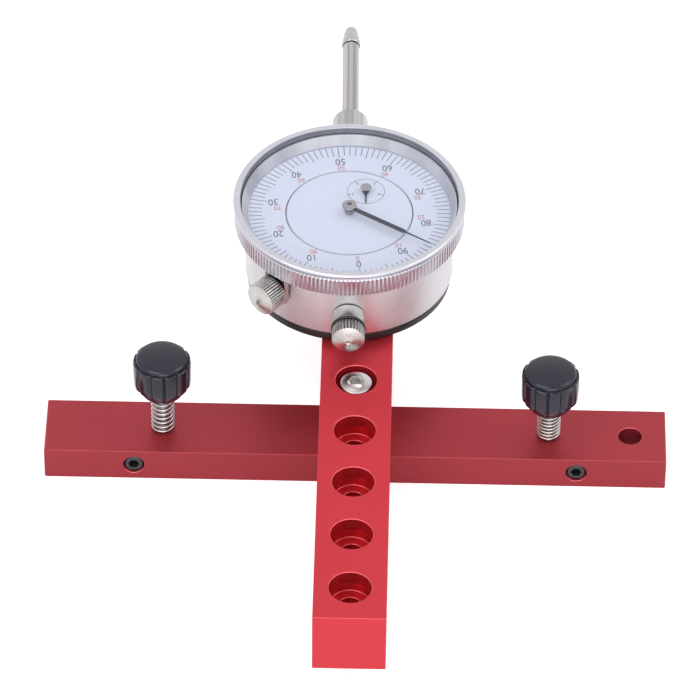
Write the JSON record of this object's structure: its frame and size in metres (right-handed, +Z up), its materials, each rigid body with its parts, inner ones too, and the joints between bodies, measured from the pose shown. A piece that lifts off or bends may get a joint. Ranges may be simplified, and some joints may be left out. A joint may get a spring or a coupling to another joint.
{
  "type": "mitre slot alignment gauge",
  "caption": "Table saw alignment gauge: a one-inch dial indicator clamped to a red anodised arm that is bolted across a mitre slot bar with two sprung thumb knobs.",
  "frame": {"origin": "on the mitre bar's underside, below the arm bolt, midway along the bar", "axes": "+X along the bar towards its end hole, +Y along the arm towards the indicator's contact point, +Z up from the saw table"},
  "size_m": [0.161, 0.2167, 0.0536],
  "materials": {
    "red_anodised": "satin anodised",
    "silver": "fine turned, satin",
    "nickel": "bright nickel plate",
    "steel": "ground",
    "black_steel": "black oxide",
    "black_plastic": "moulded, satin",
    "black_enamel": "turned, black",
    "brass": "machined",
    "nylon": "natural nylon",
    "rubber": "matte",
    "dial_white": "printed, matte",
    "hand_grey": "lacquered",
    "clear": "polished"
  },
  "bodies": {
    "bar": {"mitre_bar": "red_anodised", "arm_bolt": "steel"},
    "left_spring": {"left_knob_spring": "steel"},
    "left_knob": {"left_knob": "black_plastic", "left_stud": "steel"},
    "right_spring": {"right_knob_spring": "steel"},
    "right_knob": {"right_knob": "black_plastic", "right_stud": "steel"},
    "left_plug": {"left_plug": "nylon"},
    "left_screw": {"left_side_screw": "black_steel"},
    "right_plug": {"right_plug": "nylon"},
    "right_screw": {"right_side_screw": "black_steel"},
    "arm": {"arm": "red_anodised", "lug_clamp_screw": "black_steel", "back_cover": "black_enamel", "cover_screw_1": "steel", "cover_screw_2": "steel", "cover_screw_3": "steel", "cover_screw_4": "steel", "case": "silver", "stem": "nickel", "stem_bush": "brass", "upper_bush": "nickel", "cap_seal": "rubber", "dust_cap": "nickel", "guide_plate": "brass", "spring_post": "steel", "return_spring": "steel", "movement_bridge": "brass", "pillar_1": "brass", "pillar_2": "brass", "pillar_3": "brass", "pillar_screw_1": "steel", "pillar_screw_2": "steel", "pillar_screw_3": "steel", "hairspring": "steel", "hairspring_stud": "brass", "bezel_wire": "steel", "inner_dial": "dial_white"},
    "bezel": {"bezel": "silver", "crystal": "clear", "outer_scale": "dial_white", "reflector_ring": "silver"},
    "clamp_shoe": {"clamp_shoe": "nickel"},
    "clamp_knob": {"clamp_knob": "nickel"},
    "spindle": {"spindle": "steel", "contact_point": "steel", "guide_pin": "steel", "spring_pin": "steel"},
    "rack_arbor": {"rack_arbor": "steel", "main_gear": "brass"},
    "centre_arbor": {"centre_arbor": "steel", "main_hand": "hand_grey"},
    "counter_arbor": {"counter_arbor": "steel", "takeup_gear": "brass", "counter_hand": "hand_grey"}
  },
  "joints": [
    {"name": "arm_swing", "type": "hinge", "parent": "bar", "child": "arm", "pos_m": [0, 0, 0.0097], "axis": [0, 0, 1], "range_deg": [-40, 40]},
    {"name": "left_knob_height", "type": "slide", "parent": "bar", "child": "left_spring", "axis": [0, 0, -1], "range_m": [-0.0008, 0.0056], "deforming": ["left_knob_spring"]},
    {"name": "left_knob_turn", "type": "hinge", "parent": "left_spring", "child": "left_knob", "pos_m": [-0.05, 0, 0.0094], "axis": [0, 0, -1], "range_deg": [-414, 2882]},
    {"name": "right_knob_height", "type": "slide", "parent": "bar", "child": "right_spring", "axis": [0, 0, -1], "range_m": [-0.0032, 0.0032], "deforming": ["right_knob_spring"]},
    {"name": "right_knob_turn", "type": "hinge", "parent": "right_spring", "child": "right_knob", "pos_m": [0.05, 0, 0.0094], "axis": [0, 0, -1], "range_deg": [-1648, 1648]},
    {"name": "left_plug_slide", "type": "slide", "parent": "bar", "child": "left_plug", "axis": [0, 1, 0], "range_m": [-0.0004, 0.0004]},
    {"name": "left_screw_turn", "type": "hinge", "parent": "left_plug", "child": "left_screw", "pos_m": [-0.0573, 0, 0.0047], "axis": [0, 1, 0], "range_deg": [-182, 182]},
    {"name": "right_plug_slide", "type": "slide", "parent": "bar", "child": "right_plug", "axis": [0, 1, 0], "range_m": [-0.0004, 0.0004]},
    {"name": "right_screw_turn", "type": "hinge", "parent": "right_plug", "child": "right_screw", "pos_m": [0.0573, 0, 0.0047], "axis": [0, 1, 0], "range_deg": [-182, 182]},
    {"name": "bezel_turn", "type": "hinge", "parent": "arm", "child": "bezel", "pos_m": [-0.00275, 0.04095, 0.05], "axis": [0, 0, 1], "continuous": true},
    {"name": "clamp_slide", "type": "slide", "parent": "arm", "child": "clamp_shoe", "axis": [0.6455, 0.7638, 0], "range_m": [-0.0005, 0.000125]},
    {"name": "clamp_turn", "type": "hinge", "parent": "clamp_shoe", "child": "clamp_knob", "pos_m": [-0.02173, 0.01849, 0.0414], "axis": [0.6455, 0.7638, 0], "range_deg": [-362, 92]},
    {"name": "spindle_slide", "type": "slide", "parent": "arm", "child": "spindle", "axis": [0.014, -0.9999, 0], "range_m": [0, 0.0254], "stiffness_N_per_m": 20, "springref_m": -0.03},
    {"name": "rack_arbor_turn", "type": "hinge", "parent": "arm", "child": "rack_arbor", "pos_m": [0.00321, 0.03353, 0.037], "axis": [0, 0, 1], "range_deg": [-1, 361]},
    {"name": "centre_turn", "type": "hinge", "parent": "arm", "child": "centre_arbor", "pos_m": [-0.00275, 0.04095, 0.045], "axis": [0, 0, 1], "range_deg": [-3605, 5]},
    {"name": "counter_turn", "type": "hinge", "parent": "arm", "child": "counter_arbor", "pos_m": [0.00138, 0.04952, 0.043], "axis": [0, 0, 1], "range_deg": [-1, 361]}
  ],
  "couplings": [
    {"joint": "left_knob_turn", "follows": "left_knob_height", "rad_per_m": 8976},
    {"joint": "right_knob_turn", "follows": "right_knob_height", "rad_per_m": 8976},
    {"joint": "left_screw_turn", "follows": "left_plug_slide", "rad_per_m": 7854},
    {"joint": "right_screw_turn", "follows": "right_plug_slide", "rad_per_m": 7854},
    {"joint": "clamp_turn", "follows": "clamp_slide", "rad_per_m": 12566},
    {"joint": "rack_arbor_turn", "follows": "spindle_slide", "rad_per_m": 247.37},
    {"joint": "centre_turn", "follows": "spindle_slide", "rad_per_m": -2473.7},
    {"joint": "counter_turn", "follows": "spindle_slide", "rad_per_m": 247.37}
  ]
}
